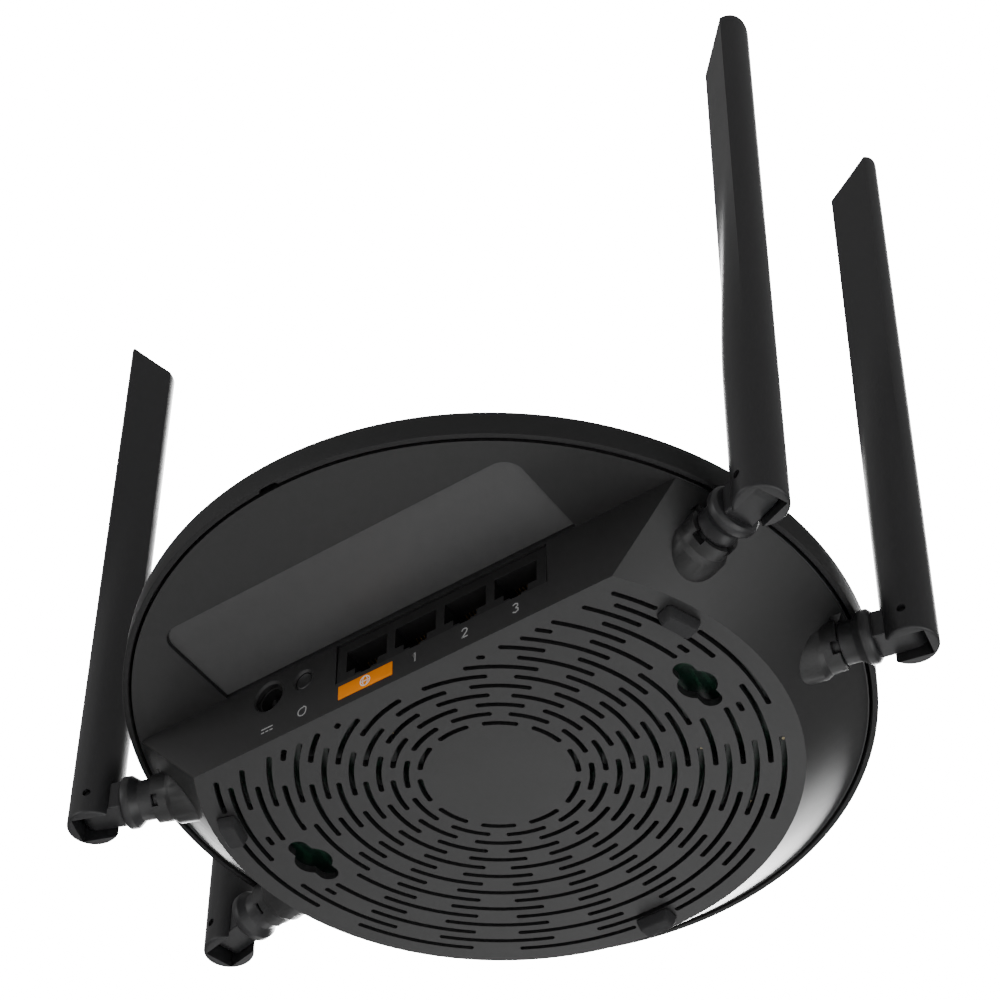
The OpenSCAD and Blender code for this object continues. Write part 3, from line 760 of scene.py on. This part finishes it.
@dataclass
class Housing:
    """The cover, the vented shell, the feet and the labels."""

    foot_height: float = 3.0
    cover_radius: float = 89.65
    seam_height: float = 17.85
    tilt: float = 2.58
    skirt_height: float = 7.9
    dome_rise: float = 3.5
    wall: float = 2.0
    skirt_wall: float = 1.55
    last_ring: float = 66.5
    rear_wall: float = 40.4
    rear_draft: float = 1.9
    label_length: float = 100.5
    label_edge: float = 66.5
    label_recess: float = 1.15
    label_thickness: float = 0.2
    label_gap: float = 0.3
    label_front: float = 41.3
    label_corner: float = 5.0
    cover_edge: float = 1.6
    groove_share: float = 0.62
    groove_depth: float = 0.42
    notch_depth: float = 0.8
    notch_half: float = 1.75
    notch_ease: float = 0.2
    notch_margin: float = 0.05
    foot_size: tuple[float, float] = (5.0, 9.5)
    foot_angles: tuple[float, ...] = (18, 162, 270)
    foot_shift: float = 0.2
    foot_narrow: float = 0.26
    foot_shoulder: float = 0.75
    strip_size: tuple[float, float, float] = (15.5, 3.9, 0.15)
    strip_height: float = 4.25
    body: str = "housing"

    def seam(self) -> Placement:
        """The cover's frame: the seam is its XY plane, and it leans back by the tilt."""
        lean = math.radians(self.tilt)
        shift = self.skirt_height * math.sin(lean) / 2
        back, up = math.cos(lean), math.sin(lean)
        axes = np.array([[1, 0, 0], [0, back, up], [0, -up, back]])
        return Placement(np.array([0, shift, self.foot_height + self.seam_height]), axes)

    def rear(self, x: float, height: float) -> Placement:
        """A frame on the rear wall: X to the reader's right, Y up the wall, Z out of it."""
        draft = math.radians(self.rear_draft)
        y = self.rear_wall + math.tan(draft) * height
        up, back = math.cos(draft), math.sin(draft)
        axes = np.array([[-1, 0, 0], [0, back, up], [0, up, -back]])
        return Placement(np.array([x, y, self.foot_height + height]), axes)

    def dome(self, radius: Array, drop: float = 0.0) -> Array:
        """Height of the cover: a paraboloid that rises towards the axis."""
        share = np.asarray(radius) / self.cover_radius
        return self.skirt_height + self.dome_rise * (1 - share**2) - drop

    def section(self) -> Array:
        """The cover's section, from the axis under the dome round to the axis on top.

        Returns:
            Radius and height pairs: the inside, the skirt's rim, the shoulder as a
            quarter circle, the dome, the ring groove as a half ellipse, the centre.
        """
        outer, inner = self.cover_radius, self.cover_radius - self.skirt_wall
        edge, groove = self.cover_edge, self.cover_radius * self.groove_share
        turn = np.linspace(0, np.pi / 2, 9)
        bend = np.linspace(0, np.pi, 7)
        under = np.linspace(0, inner - edge, 14)
        face = np.linspace(outer - edge, groove + 1.2, 18)[1:]
        centre = np.linspace(groove, 0, 24)[1:]
        base = self.dome(outer - edge, edge)
        inside = [
            [inner - 0.4, self.dome(inner, self.wall + 0.3)],
            [inner, self.dome(inner, self.wall + 1)], [inner, 3.0], [inner, 2.0],
            [inner, 0.8], [inner + 0.05, 0.25],
        ]
        rim = [
            [inner + 0.25, 0.0], [outer - 0.35, 0.0], [outer - 0.1, 0.1], [outer, 0.35],
        ]
        shoulder = [outer - edge + edge * np.cos(turn), base + edge * np.sin(turn)]
        ring = [
            groove + 0.55 + 0.5 * np.cos(bend),
            self.dome(groove) - self.groove_depth * np.sin(bend),
        ]
        return np.concatenate(
            [
                np.column_stack([under, self.dome(under, self.wall)]),
                inside,
                rim,
                np.column_stack(shoulder),
                np.column_stack([face, self.dome(face)]),
                np.column_stack(ring),
                np.column_stack([centre, self.dome(centre)]),
            ]
        )

    def cover(self) -> None:
        """The cover: its section carried round the axis, with a pry notch at the rear.

        The notch pushes the lowest inner points outward by a clipped ramp of the
        angle from the rear.
        """
        profile, inner = self.section(), self.cover_radius - self.skirt_wall
        half, ease = self.notch_half, self.notch_ease
        steps = np.linspace(0, 360, 360, endpoint=False)
        sides = 90 + np.array([-half, ease - half, half - ease, half])
        angle = np.radians(np.sort(np.concatenate([steps, sides])))
        radius = np.repeat(profile[:, :1], len(angle), axis=1)
        height = np.repeat(profile[:, 1:], len(angle), axis=1)
        away = np.abs(np.degrees(angle) - 90)
        notch = np.clip((half - self.notch_margin - away) / ease, 0, 1)
        skirt = (profile[:, 0] >= inner) & (profile[:, 0] < inner + 0.3)
        low = skirt & (profile[:, 1] < 2.5)
        fade = low * np.clip((2.2 - profile[:, 1]) / 0.3, 0, 1)
        radius = radius + self.notch_depth * np.outer(fade, notch)
        sections = np.stack(
            [radius * np.cos(angle), radius * np.sin(angle), height], axis=-1
        )
        surface = loft(sections, False, False).placed(self.seam())
        SHOP.piece("cover", surface, self.body, Slot.COVER, ["top_cover"], sharp=38.0)

    def feet(self) -> None:
        """Three feet: rounded blocks that taper towards the table."""
        parts = []
        for angle in self.foot_angles:
            turn = math.radians(angle)
            out, along = math.cos(turn), math.sin(turn)
            axes = np.array([[out, along, 0], [-along, out, 0], [0, 0, 1]])
            place = Placement(
                self.last_ring * axes[0] + self.foot_shift * axes[0], axes
            )
            foot = slab((*self.foot_size, self.foot_height), 1.1, 0.35, 5)
            lift = foot.points[:, 2] / self.foot_height
            below = np.clip((self.foot_shoulder - lift) / self.foot_shoulder, 0, 1)
            share = 1 - self.foot_narrow * below
            depth = 1 - (1 - share) * 0.8
            narrow = np.column_stack([share, depth, np.ones(len(share))])
            parts.append(Surface(foot.points * narrow, foot.faces).placed(place))
        SHOP.piece("feet", joined(parts), self.body, Slot.FOOT, ["feet"])

    def labels(self) -> None:
        """The rating film in its recess and the strip under the first socket."""
        front, back = self.label_front, self.label_edge - self.label_gap
        corner, thick = self.label_corner, self.label_thickness
        length = self.label_length - 2 * self.label_gap
        film = slab((length, back - front + corner, thick), corner, 0.06, 3)
        points = film.points.copy()
        shifted = points[:, 1] + (back + front - corner) / 2
        points[:, 1] = np.maximum(shifted, front)
        points[:, 2] += self.label_recess - thick
        film = Surface(points, film.faces).placed(self.seam())
        SHOP.piece("rating_film", film, self.body, Slot.LABEL, ["rating_label"])
        place = self.rear(middle_across("wan_label"), self.strip_height)
        strip = slab(self.strip_size, 0.15, 0.05, 2).placed(place)
        nodes = ["wan_label"]
        SHOP.piece("first_socket_strip", strip, self.body, Slot.MARKING, nodes)

    def build(self) -> None:
        """Builds the housing."""
        self.cover()
        SHOP.softened("bottom_shell", "shell", self.body, Slot.SHELL)
        self.feet()
        self.labels()
        SHOP.carried("light_pipe", Slot.CLEAR)
        SHOP.carried("housing_screws", Slot.SCREW)


# ---- ports ----


@dataclass
class Ports:
    """The sockets, the power inlet, the reset button and their printed signs."""

    housing: Housing
    body: str = "housing"
    sign_height: float = 4.3
    ink_height: float = 0.03
    digit_stroke: float = 0.34
    sign_stroke: float = 0.3
    globe_radius: float = 1.35
    button_radius: float = 2.325
    collar_radius: float = 3.225
    stem_radius: float = 1.2

    def digit(self, number: int) -> list[Array]:
        """The strokes of a digit about 2.6 mm high."""
        hook = [(-0.75, 0.7), (-0.5, 1.15), (0, 1.3), (0.5, 1.15), (0.75, 0.65)]
        upper = [(-0.7, 0.95), (0, 1.3), (0.6, 1.05), (0.65, 0.45), (0, 0.08)]
        lower = [(0, 0.08), (0.7, -0.3), (0.7, -0.95), (0, -1.3), (-0.75, -0.95)]
        shapes = {
            1: [[(-0.55, 0.75), (0.1, 1.3), (0.1, -1.3)]],
            2: [[*hook, (0.5, 0.1), (-0.75, -1.3)], [(-0.8, -1.2), (0.85, -1.2)]],
            3: [upper, lower],
        }
        return [np.array(stroke) for stroke in shapes[number]]

    def printed(
        self, paths: Iterable[Any], width: float, place: Placement
    ) -> list[Surface]:
        """Strokes of ink along paths in the XY plane of a frame."""
        return [ribbon(path, width, self.ink_height).placed(place) for path in paths]

    def signs(self) -> None:
        """Printed signs: digits, a plug's polarity, a turning arrow and a globe."""
        rear, height, stroke = self.housing.rear, self.sign_height, self.sign_stroke
        sockets = sorted(self.sockets())
        parts = []
        for number, x in zip((3, 2, 1), sockets):
            strokes = self.digit(number)
            parts += self.printed(strokes, self.digit_stroke, rear(x, height))
        spans = ((-1.7, -0.8), (-0.45, 0.45), (0.8, 1.7))
        dashes = [[(start, -0.5), (end, -0.5)] for start, end in spans]
        polarity = [[(-1.7, 0.5), (1.7, 0.5)], *dashes]
        place = rear(middle_across("dc_jack"), height - 0.3)
        parts += self.printed(polarity, stroke, place)
        arrow = [circle_path(1.15, 70, 380), [(0.35, 1.45), (1.1, 0.95), (1.25, 0.3)]]
        place = rear(middle_across("reset_button"), height)
        parts += self.printed(arrow, stroke, place)
        SHOP.piece("port_signs", joined(parts), self.body, INK)
        globe, wide = rear(sockets[-1], height), self.globe_radius
        thick = self.housing.strip_size[2]
        lifted = Placement(globe.origin + thick * globe.axes[2], globe.axes)
        lines = self.printed([circle_path(wide)], 0.26, lifted)
        inner = [circle_path(wide) * [0.5, 1], [(-wide, 0), (wide, 0)]]
        lines += self.printed(inner, 0.2, lifted)
        SHOP.piece("outside_sign", joined(lines), self.body, WHITE_INK)

    def sockets(self) -> list[float]:
        """The sockets' middles across, from the mounts."""
        found = ((m["name"], m["pos_m"][0]) for m in frame["record"]["mounts"])
        return [x / MM for name, x in found if name.startswith("network_socket")]

    def button(self) -> None:
        """The reset button: a turned plunger, a dished face, a collar in the wall."""
        low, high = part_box("reset_button")
        x, z = middle_across("reset_button"), (low[2] + high[2]) / 2 / MM
        back, front = low[1] / MM, high[1] / MM
        stem, collar, radius = self.stem_radius, self.collar_radius, self.button_radius
        collar_back, collar_front = front - 3.3, front - 2.2
        profile = [
            (0, back), (stem - 0.2, back), (stem, back + 0.2), (stem, collar_back),
            (collar - 0.125, collar_back), (collar, collar_back + 0.1),
            (collar, collar_front - 0.1), (collar - 0.125, collar_front),
            (radius, collar_front), (radius, front - 0.35), (radius - 0.1, front - 0.1),
            (radius - 0.35, front), (1.6, front - 0.12), (0.8, front - 0.22),
            (0, front - 0.25),
        ]
        axes = np.array([[1, 0, 0], [0, 0, -1], [0, 1, 0]])
        surface = turned(profile, 64).placed(Placement(np.array([x, 0, z]), axes))
        body, nodes = "reset_button_body", ["reset_button"]
        SHOP.piece("reset_plunger", surface, body, Slot.BUTTON, nodes)

    def build(self) -> None:
        """Builds the ports."""
        body, jack, steel = self.body, Slot.JACK, Slot.SHIELD
        SHOP.softened("lan_jack_housing", "socket_block", body, jack, 0.15)
        SHOP.softened("lan_jack_shield", "socket_shield", body, steel, 0.08)
        SHOP.carried("lan_contacts", Slot.CONTACT)
        SHOP.softened("dc_jack", "power_inlet", body, jack, 0.2)
        pin = SHOP.softened("dc_pin", "power_pin", body, steel)
        SHOP.dress(pin, BLACKENED, steel)
        SHOP.softened("reset_switch", "reset_switch_body", body, jack, 0.15)
        self.button()
        self.signs()


# ---- antennas ----


class Corner(Enum):
    """Where an antenna stands: its short name, and which way its flat side looks."""

    RIGHT_REAR = ("rr", 1)
    RIGHT_FRONT = ("rf", 1)
    LEFT_REAR = ("lr", -1)
    LEFT_FRONT = ("lf", -1)


@dataclass
class Antenna:
    """One antenna: a swivel in the housing's boss and a blade that folds on it."""

    corner: Corner
    blade_radius: float = 6.4
    blade_foot: float = 6.3
    blade_length: float = 172.5
    flat_depth: float = 3.2
    flat_turn: float = 15.0
    flat_start: float = 34.0
    flat_full: float = 112.0
    top_slope: float = 43.5
    shaft_radius: float = 4.0
    tongue: float = 7.8
    fork: float = 4.05
    pin_radius: float = 1.0
    pin_hole: float = 1.05
    pin_hole_end: float = 5.8
    foot_edge: float = 0.7
    top_edge: float = 0.5
    boss_start: float = 72.0
    boss_end: float = 85.2
    neck_end: float = 88.9
    flange_end: float = 93.4
    lead_bore: float = 1.3
    tongue_gap: float = 1.3
    tongue_ease: float = 0.35

    def place(self) -> Placement:
        """The hinge's frame: X away from the housing, Y along the pin, Z up."""
        name = "fold_" + self.corner.value[0]
        joint = next(j for j in frame["joints"] if j["name"] == name)
        pin = np.array(joint["axis"], float)
        pin /= np.linalg.norm(pin)
        up = np.array([0.0, 0.0, 1.0])
        axes = np.array([np.cross(pin, up), pin, up])
        return Placement(np.array(joint["pos_m"]) / MM, axes)

    def blade(self) -> None:
        """The blade: a circle that becomes flat on one side towards its top.

        At each angle the radius falls from the circle's towards the shorter of
        the circle's and the flat's, which is the circle's radius less the depth,
        over the cosine of the angle from the flat's middle. It falls by a smooth
        step of the height. Every column ends on the slanted top, where it turns
        in along a quarter circle.
        """
        rear = self.corner.value[1]
        edge, foot, circle = self.top_edge, self.foot_edge, self.blade_radius
        middle = rear * math.radians(90 + self.flat_turn)
        reach = math.acos(1 - self.flat_depth / circle)
        fine = np.linspace(-1, 1, 33) * reach
        rest = np.linspace(reach, 2 * math.pi - reach, 81)[1:-1]
        angle = np.concatenate([fine, rest]) + middle
        turn = np.linspace(0, np.pi / 2, 7)
        rise = np.linspace(0.012, 0.988, 40)
        none = np.zeros(len(rise))
        opening, closing = 1 - np.sin(turn), 1 - np.cos(turn)
        inset = np.concatenate([foot * opening, none, edge * closing])
        above = np.concatenate([foot * closing, none, -edge * opening])
        share = np.concatenate([np.zeros(len(turn)), rise, np.ones(len(turn))])
        peak = self.blade_length - self.blade_foot
        height = share * (peak + self.blade_foot) - self.blade_foot
        span = self.flat_full - self.flat_start
        step = np.clip((height - self.flat_start) / span, 0, 1)
        step = step**2 * (3 - 2 * step)
        facing = np.maximum(np.cos(angle - middle), 1e-3)
        sunk = np.maximum(circle - (circle - self.flat_depth) / facing, 0)
        radius = circle - np.outer(step, sunk) - inset[:, None]
        x, y = radius * np.cos(angle), radius * np.sin(angle)
        roof = peak - (circle - x) * math.tan(math.radians(self.top_slope))
        low = -self.blade_foot
        z = low + share[:, None] * (roof - low) + above[:, None]
        surface = loft(np.stack([x, y, z], axis=-1))
        place = self.place()
        short = self.corner.value[0]
        surface, body = surface.placed(place), f"blade_body_{short}"
        nodes = [f"blade_{short}"]
        obj = SHOP.piece(f"blade_skin_{short}", surface, body, Slot.ANTENNA, nodes)
        cut, past = self.fork, 20
        slot = slab((past + cut, 2 * cut, past + cut), 0.3, 0.3, 3)
        slot = slot.moved(x=(cut - past) / 2, z=-past)
        side = Placement(np.zeros(3), np.array([[1, 0, 0], [0, 0, -1], [0, 1, 0]]))
        blind, open_end, hole = self.pin_hole_end, 9, self.pin_hole
        ends = (-blind, open_end) if rear > 0 else (-open_end, blind)
        through = turned([(hole, end) for end in ends], 32)
        SHOP.carve(obj, [slot.placed(place), through.placed(side).placed(place)])

    def swivel(self) -> None:
        """The swivel: a turned shaft with a head, neck and flange, and a tongue."""
        place, short = self.place(), self.corner.value[0]
        reach = float(np.hypot(*place.origin[:2]))
        shaft, bore = self.shaft_radius, self.lead_bore
        head, boss_end = self.boss_start, self.boss_end
        neck, flange = self.neck_end, self.flange_end
        profile = [
            (0, head - 1.4), (bore, head - 1.4), (bore, head - 2.1),
            (shaft + 1.2, head - 2.1), (shaft + 1.4, head - 1.9),
            (shaft + 1.4, head - 0.3), (shaft + 1.2, head - 0.1), (shaft, head - 0.1),
            (shaft, boss_end + 0.1), (4.8, boss_end + 0.1), (5.0, boss_end + 0.3),
            (5.0, neck - 0.2), (5.15, neck + 0.1), (6.3, neck + 1.65),
            (6.45, neck + 1.85), (6.5, neck + 2.1), (6.5, flange - 1.05),
            (6.42, flange - 0.8), (5.75, flange - 0.12), (5.55, flange), (0, flange),
        ]
        outward = np.array([[0, 0, -1], [0, 1, 0], [1, 0, 0]])
        along = Placement(np.array([-reach, 0, 0]), outward)
        half, gap, ease = self.tongue / 2, self.tongue_gap, self.tongue_ease
        start = flange - reach - 0.5
        arc = circle_path(half, -90, 90, 17)
        side = np.concatenate([arc, [[start, half], [start, -half]]])
        low_arc = circle_path(half, -90, -19.5, 10)
        bridge = [[-2.5, -gap], [start, -gap], [start, -half]]
        under = np.concatenate([low_arc, bridge])
        parts = [
            turned(profile, 72).placed(along),
            self.cheek(side, -half, -gap, ease, 0.0),
            self.cheek(side, gap, half, 0.0, ease),
            self.cheek(under, -gap, gap, 0.0, 0.0),
        ]
        surface, body = joined(parts).placed(place), f"swivel_body_{short}"
        SHOP.piece(f"{body}.skin", surface, body, Slot.ANTENNA, [f"swivel_{short}"])

    def cheek(
        self, side: Array, low: float, high: float, ease_low: float, ease_high: float
    ) -> Surface:
        """A flat piece between two planes across the hinge, its rims eased.

        Args:
            side: its outline in X and Z.
            low: where it starts along the pin.
            high: where it ends along the pin.
            ease_low: the size of the easing at the start.
            ease_high: the size of the easing at the end.

        Returns:
            The closed surface.
        """
        middle = side.mean(axis=0)
        away = side - middle
        length = np.linalg.norm(away, axis=1, keepdims=True)
        eased = [(low, ease_low), (low + ease_low, 0.0)]
        steps = [*eased, (high - ease_high, 0.0), (high, ease_high)]
        rows = []
        for level, inset in dict.fromkeys(steps):
            flat = middle + away * (1 - inset / length)
            across = np.full(len(flat), level)
            rows.append(np.column_stack([flat[:, 0], across, flat[:, 1]]))
        return loft(np.array(rows))

    def pins(self) -> None:
        """Two short hinge pins with eased ends."""
        radius, short = self.pin_radius, self.corner.value[0]
        start = 1.55
        end = start + self.blade_radius - 2.3
        profile = [(radius - 0.2, start), (radius, start + 0.2)]
        profile += [(radius, end - 0.1), (radius - 0.25, end)]
        parts = []
        for way in (1, -1):
            axes = np.array([[1, 0, 0], [0, 0, -way], [0, way, 0]])
            parts.append(turned(profile, 32).placed(Placement(np.zeros(3), axes)))
        surface = joined(parts).placed(self.place())
        body, nodes = f"swivel_body_{short}", [f"hinge_pins_{short}"]
        SHOP.piece(f"pins_{short}", surface, body, BLACKENED, nodes, slot=Slot.SCREW)

    def build(self) -> None:
        """Builds the antenna."""
        self.blade()
        self.swivel()
        self.pins()
        SHOP.carried("aerial_" + self.corner.value[0], Slot.BOARD)


# ---- electronics ----


@dataclass
class Electronics:
    """The circuit board and everything on it."""

    body: str = "housing"
    kept: dict[str, Slot] = field(
        default_factory=lambda: {
            "main_board": Slot.BOARD,
            "board_screws": Slot.SCREW,
            "processor": Slot.CHIP,
            "heat_sink": Slot.SINK,
            "rf_shields": Slot.SHIELD,
            "memory_chips": Slot.CHIP,
            "lan_transformers": Slot.CHIP,
            "capacitors": Slot.CAN,
            "inductors": Slot.CHIP,
            "crystal": Slot.SHIELD,
            "status_leds": Slot.LED,
            "antenna_sockets": Slot.CONTACT,
            "antenna_leads": Slot.LEAD,
        }
    )

    def build(self) -> None:
        """Dresses the board and its parts."""
        for node, slot in self.kept.items():
            SHOP.carried(node, slot)


# ---- studio ----


@dataclass(frozen=True)
class Lamp:
    """A round area light: metres, watts and a cone in degrees."""

    name: str
    at: tuple[float, float, float]
    size: float
    power: float
    spread: float = 180.0


LAMPS = (
    Lamp("low_front", at=(0.55, -1.15, -0.75), size=0.9, power=3.5),
    Lamp("high_front", at=(0.75, -1.45, 1.2), size=2.2, power=62, spread=60),
    Lamp("low_left", at=(-1.1, -0.2, -0.8), size=0.9, power=6),
    Lamp("rear", at=(0.7, 1.3, 0.1), size=1.0, power=6),
)


@dataclass
class Studio:
    """The floor, the light and the camera."""

    azimuth: float = 215.8
    elevation: float = -45.5
    roll: float = 0.435
    distance: float = 0.696
    lens: float = 107.5
    aim: tuple[float, float, float] = (-0.0271, 0.0381, -0.0428)
    floor_drop: float = 1.4
    floor_side: float = 9000.0
    light_height: float = 0.05
    surround_light: float = 0.36
    surround_white: float = 20.0

    def camera(self) -> None:
        """Puts the camera at its angles, aimed beside the middle of the box."""
        low, high = CAD_BOX
        centre = (np.array(low) + np.array(high)) / 2 + np.array(self.aim)
        angles = (self.azimuth, self.elevation, self.roll)
        a, e, r = (math.radians(angle) for angle in angles)
        level = math.cos(e)
        back = np.array([math.sin(a) * level, -math.cos(a) * level, math.sin(e)])
        right = np.cross(-back, [0, 0, 1])
        right /= np.linalg.norm(right)
        up = np.cross(back, right)
        cos, sin = math.cos(r), math.sin(r)
        right, up = right * cos + up * sin, up * cos - right * sin
        data = bpy.data.cameras.new("camera")
        data.lens, data.sensor_width = self.lens, 36.0
        data.clip_start, data.clip_end = 0.01, 20.0
        camera = bpy.data.objects.new("camera", data)
        turn = np.eye(4)
        turn[:3, 0], turn[:3, 1], turn[:3, 2] = right, up, back
        turn[:3, 3] = centre + back * self.distance
        camera.matrix_world = Matrix(turn.tolist())
        bpy.context.scene.collection.objects.link(camera)
        bpy.context.scene.camera = camera

    def light(self, lamp: Lamp) -> None:
        """Hangs a lamp so that it looks at the object."""
        data = bpy.data.lights.new(lamp.name, "AREA")
        data.spread = math.radians(lamp.spread)
        data.shape, data.size, data.energy = "DISK", lamp.size, lamp.power
        hung = bpy.data.objects.new(lamp.name, data)
        away = np.array(lamp.at) - np.array([0, 0, self.light_height])
        z = away / np.linalg.norm(away)
        x = np.cross([0.0, 0.3, 1.0], z)
        x /= np.linalg.norm(x)
        turn = np.eye(4)
        turn[:3, 0], turn[:3, 1], turn[:3, 2] = x, np.cross(z, x), z
        turn[:3, 3] = lamp.at
        hung.matrix_world = Matrix(turn.tolist())
        bpy.context.scene.collection.objects.link(hung)

    def world(self) -> None:
        """A white surround that lights the object only a little."""
        maker = SurroundMaker("surround")
        bpy.context.scene.world = maker.world
        seen = maker.out(maker.node("LightPath"), "Is Camera Ray")
        lit, shown = (self.surround_light,) * 3, (self.surround_white,) * 3
        maker.set(Color=maker.blend(seen, lit, shown))

    def floor(self) -> None:
        """A plain pale floor, far down because the object is seen from below."""
        surface = slab((self.floor_side, self.floor_side, 10), 50, 2, 2)
        surface = surface.moved(z=-self.floor_drop / MM)
        floor = SHOP.mesh("studio_floor", surface)
        maker = NodeMaker("pale_floor")
        tone = maker.noise(400.0, 2.0)
        pale, paler = (0.78, 0.78, 0.78), (0.82, 0.82, 0.82)
        maker.set(Base_Color=maker.blend(tone, pale, paler), Roughness=0.7)
        floor.data.materials.append(maker.material)

    def build(self) -> None:
        """Builds the studio."""
        self.world()
        self.floor()
        for lamp in LAMPS:
            self.light(lamp)
        self.camera()


def main() -> None:
    """Builds every sub-assembly in order."""
    logging.basicConfig(
        level=logging.INFO, format="%(name)s %(message)s", stream=sys.stdout
    )
    housing = Housing()
    housing.build()
    Ports(housing).build()
    for corner in Corner:
        Antenna(corner).build()
    Electronics().build()
    Studio().build()
    bpy.context.view_layer.update()


if __name__ == "__main__":
    main()
